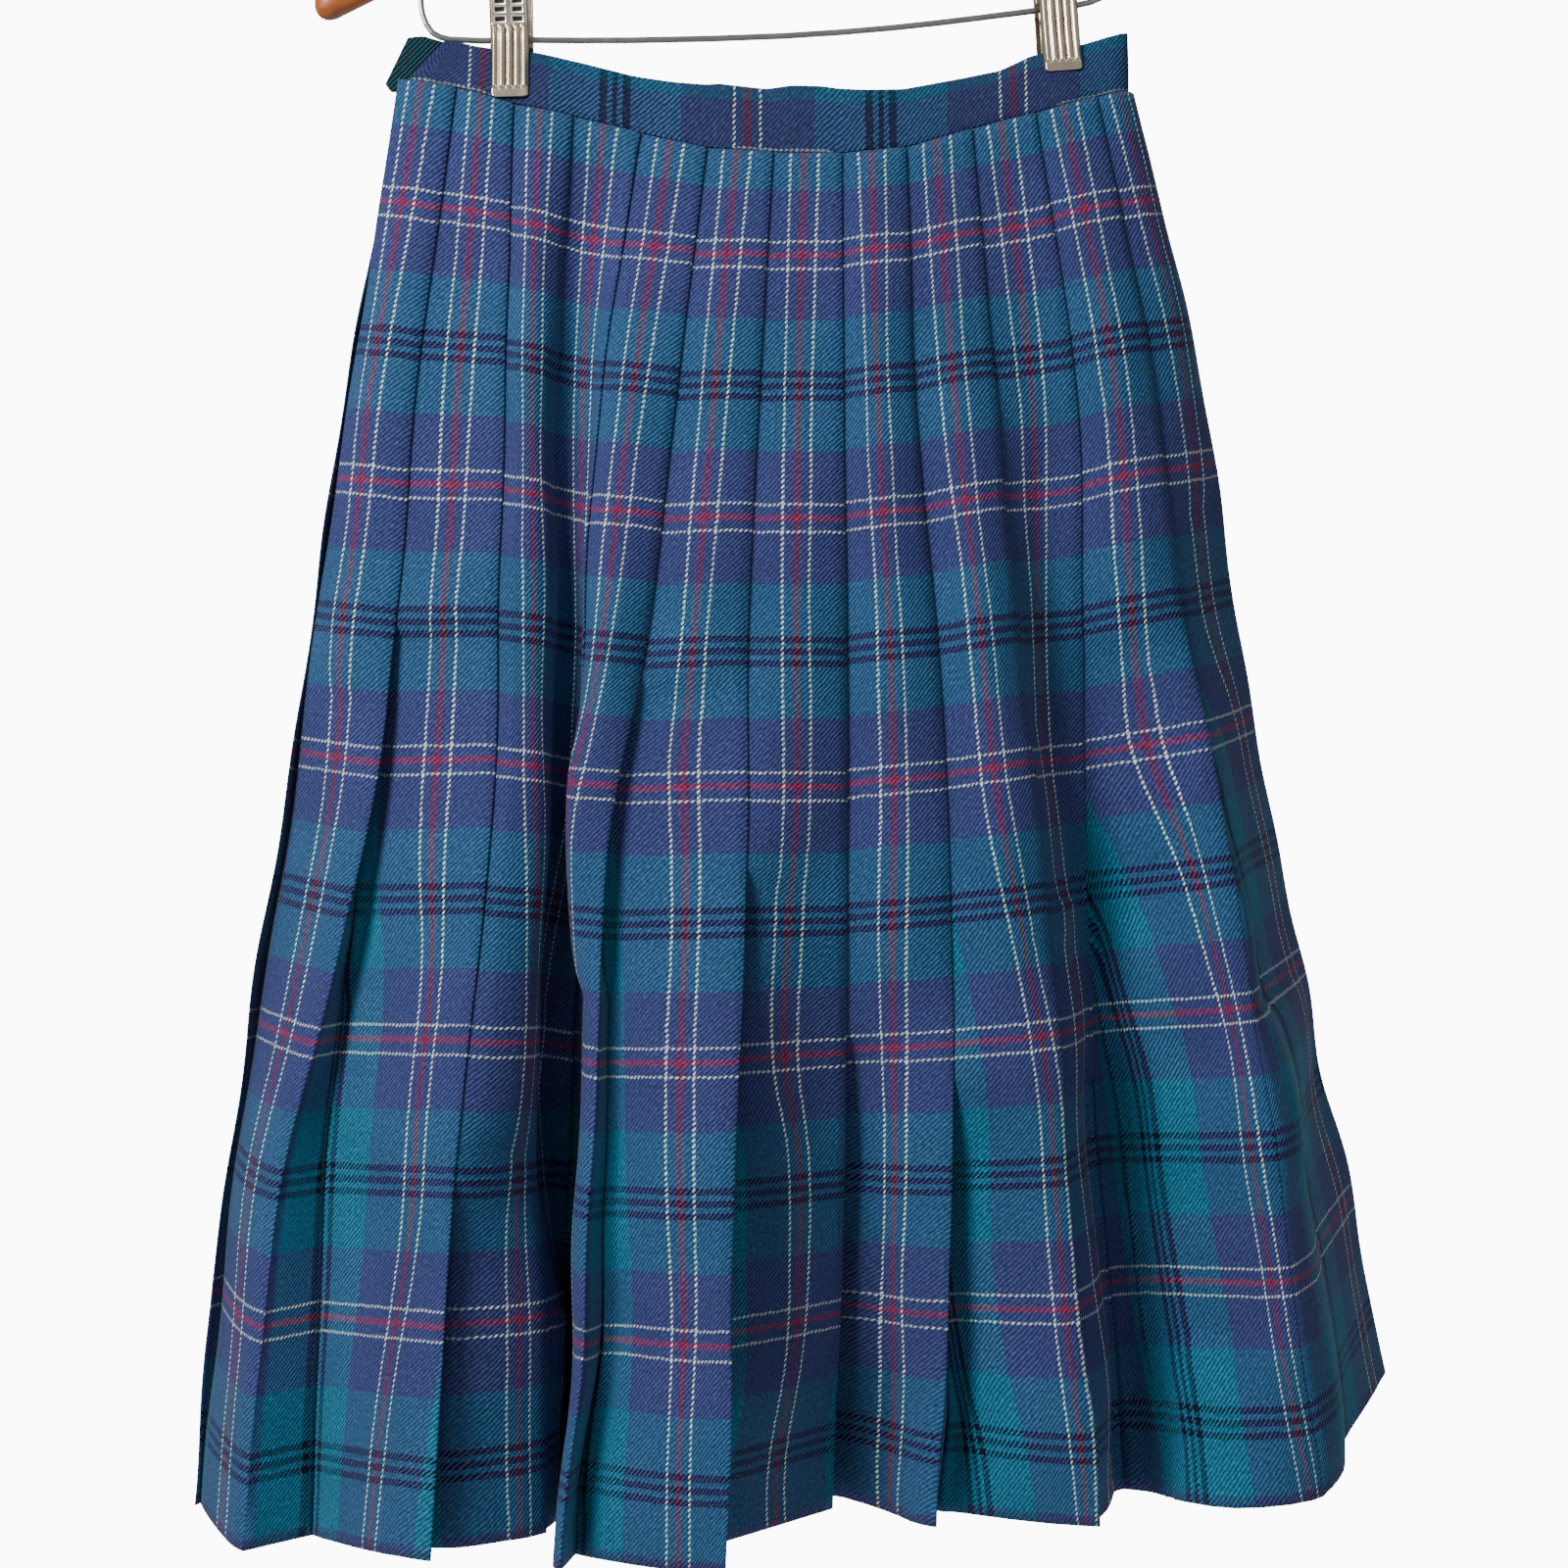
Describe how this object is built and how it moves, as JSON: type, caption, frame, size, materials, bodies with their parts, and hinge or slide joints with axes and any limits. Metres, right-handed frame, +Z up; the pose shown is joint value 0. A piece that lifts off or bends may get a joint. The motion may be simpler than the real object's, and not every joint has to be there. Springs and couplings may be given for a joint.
{
  "type": "pleated a-line skirt on a clip hanger",
  "caption": "Knife-pleated a-line skirt in wool tartan with a plain waistband, hanging by two clips from a wooden hanger with a wire bar and a hook.",
  "frame": {"origin": "inside top of the hook, where it lies on a rail", "axes": "+Z up, -Y towards the skirt's front, +X to the right as seen from the front"},
  "size_m": [0.5812, 0.2463, 0.8805],
  "materials": {
    "tartan": "matte twill tartan in navy, teal, black, cream and red",
    "band_tartan": "the same tartan cut as a band",
    "tab_cloth": "dark green facing side of the band's end",
    "wood": "glossy orange-brown varnish",
    "chrome": "polished, pressed sheet",
    "bar_steel": "dull drawn wire",
    "hook_steel": "bright drawn wire"
  },
  "bodies": {
    "root": {"front_panel": "tartan", "back_panel": "tartan", "waistband": "band_tartan", "underlap_tab": "tab_cloth", "wooden_arm": "wood", "hook": "hook_steel", "wire_bar": "bar_steel", "clip_left_front_jaw": "chrome", "clip_left_back_jaw": "chrome", "clip_left_spring": "bar_steel", "clip_right_front_jaw": "chrome", "clip_right_back_jaw": "chrome", "clip_right_spring": "bar_steel"}
  },
  "joints": []
}
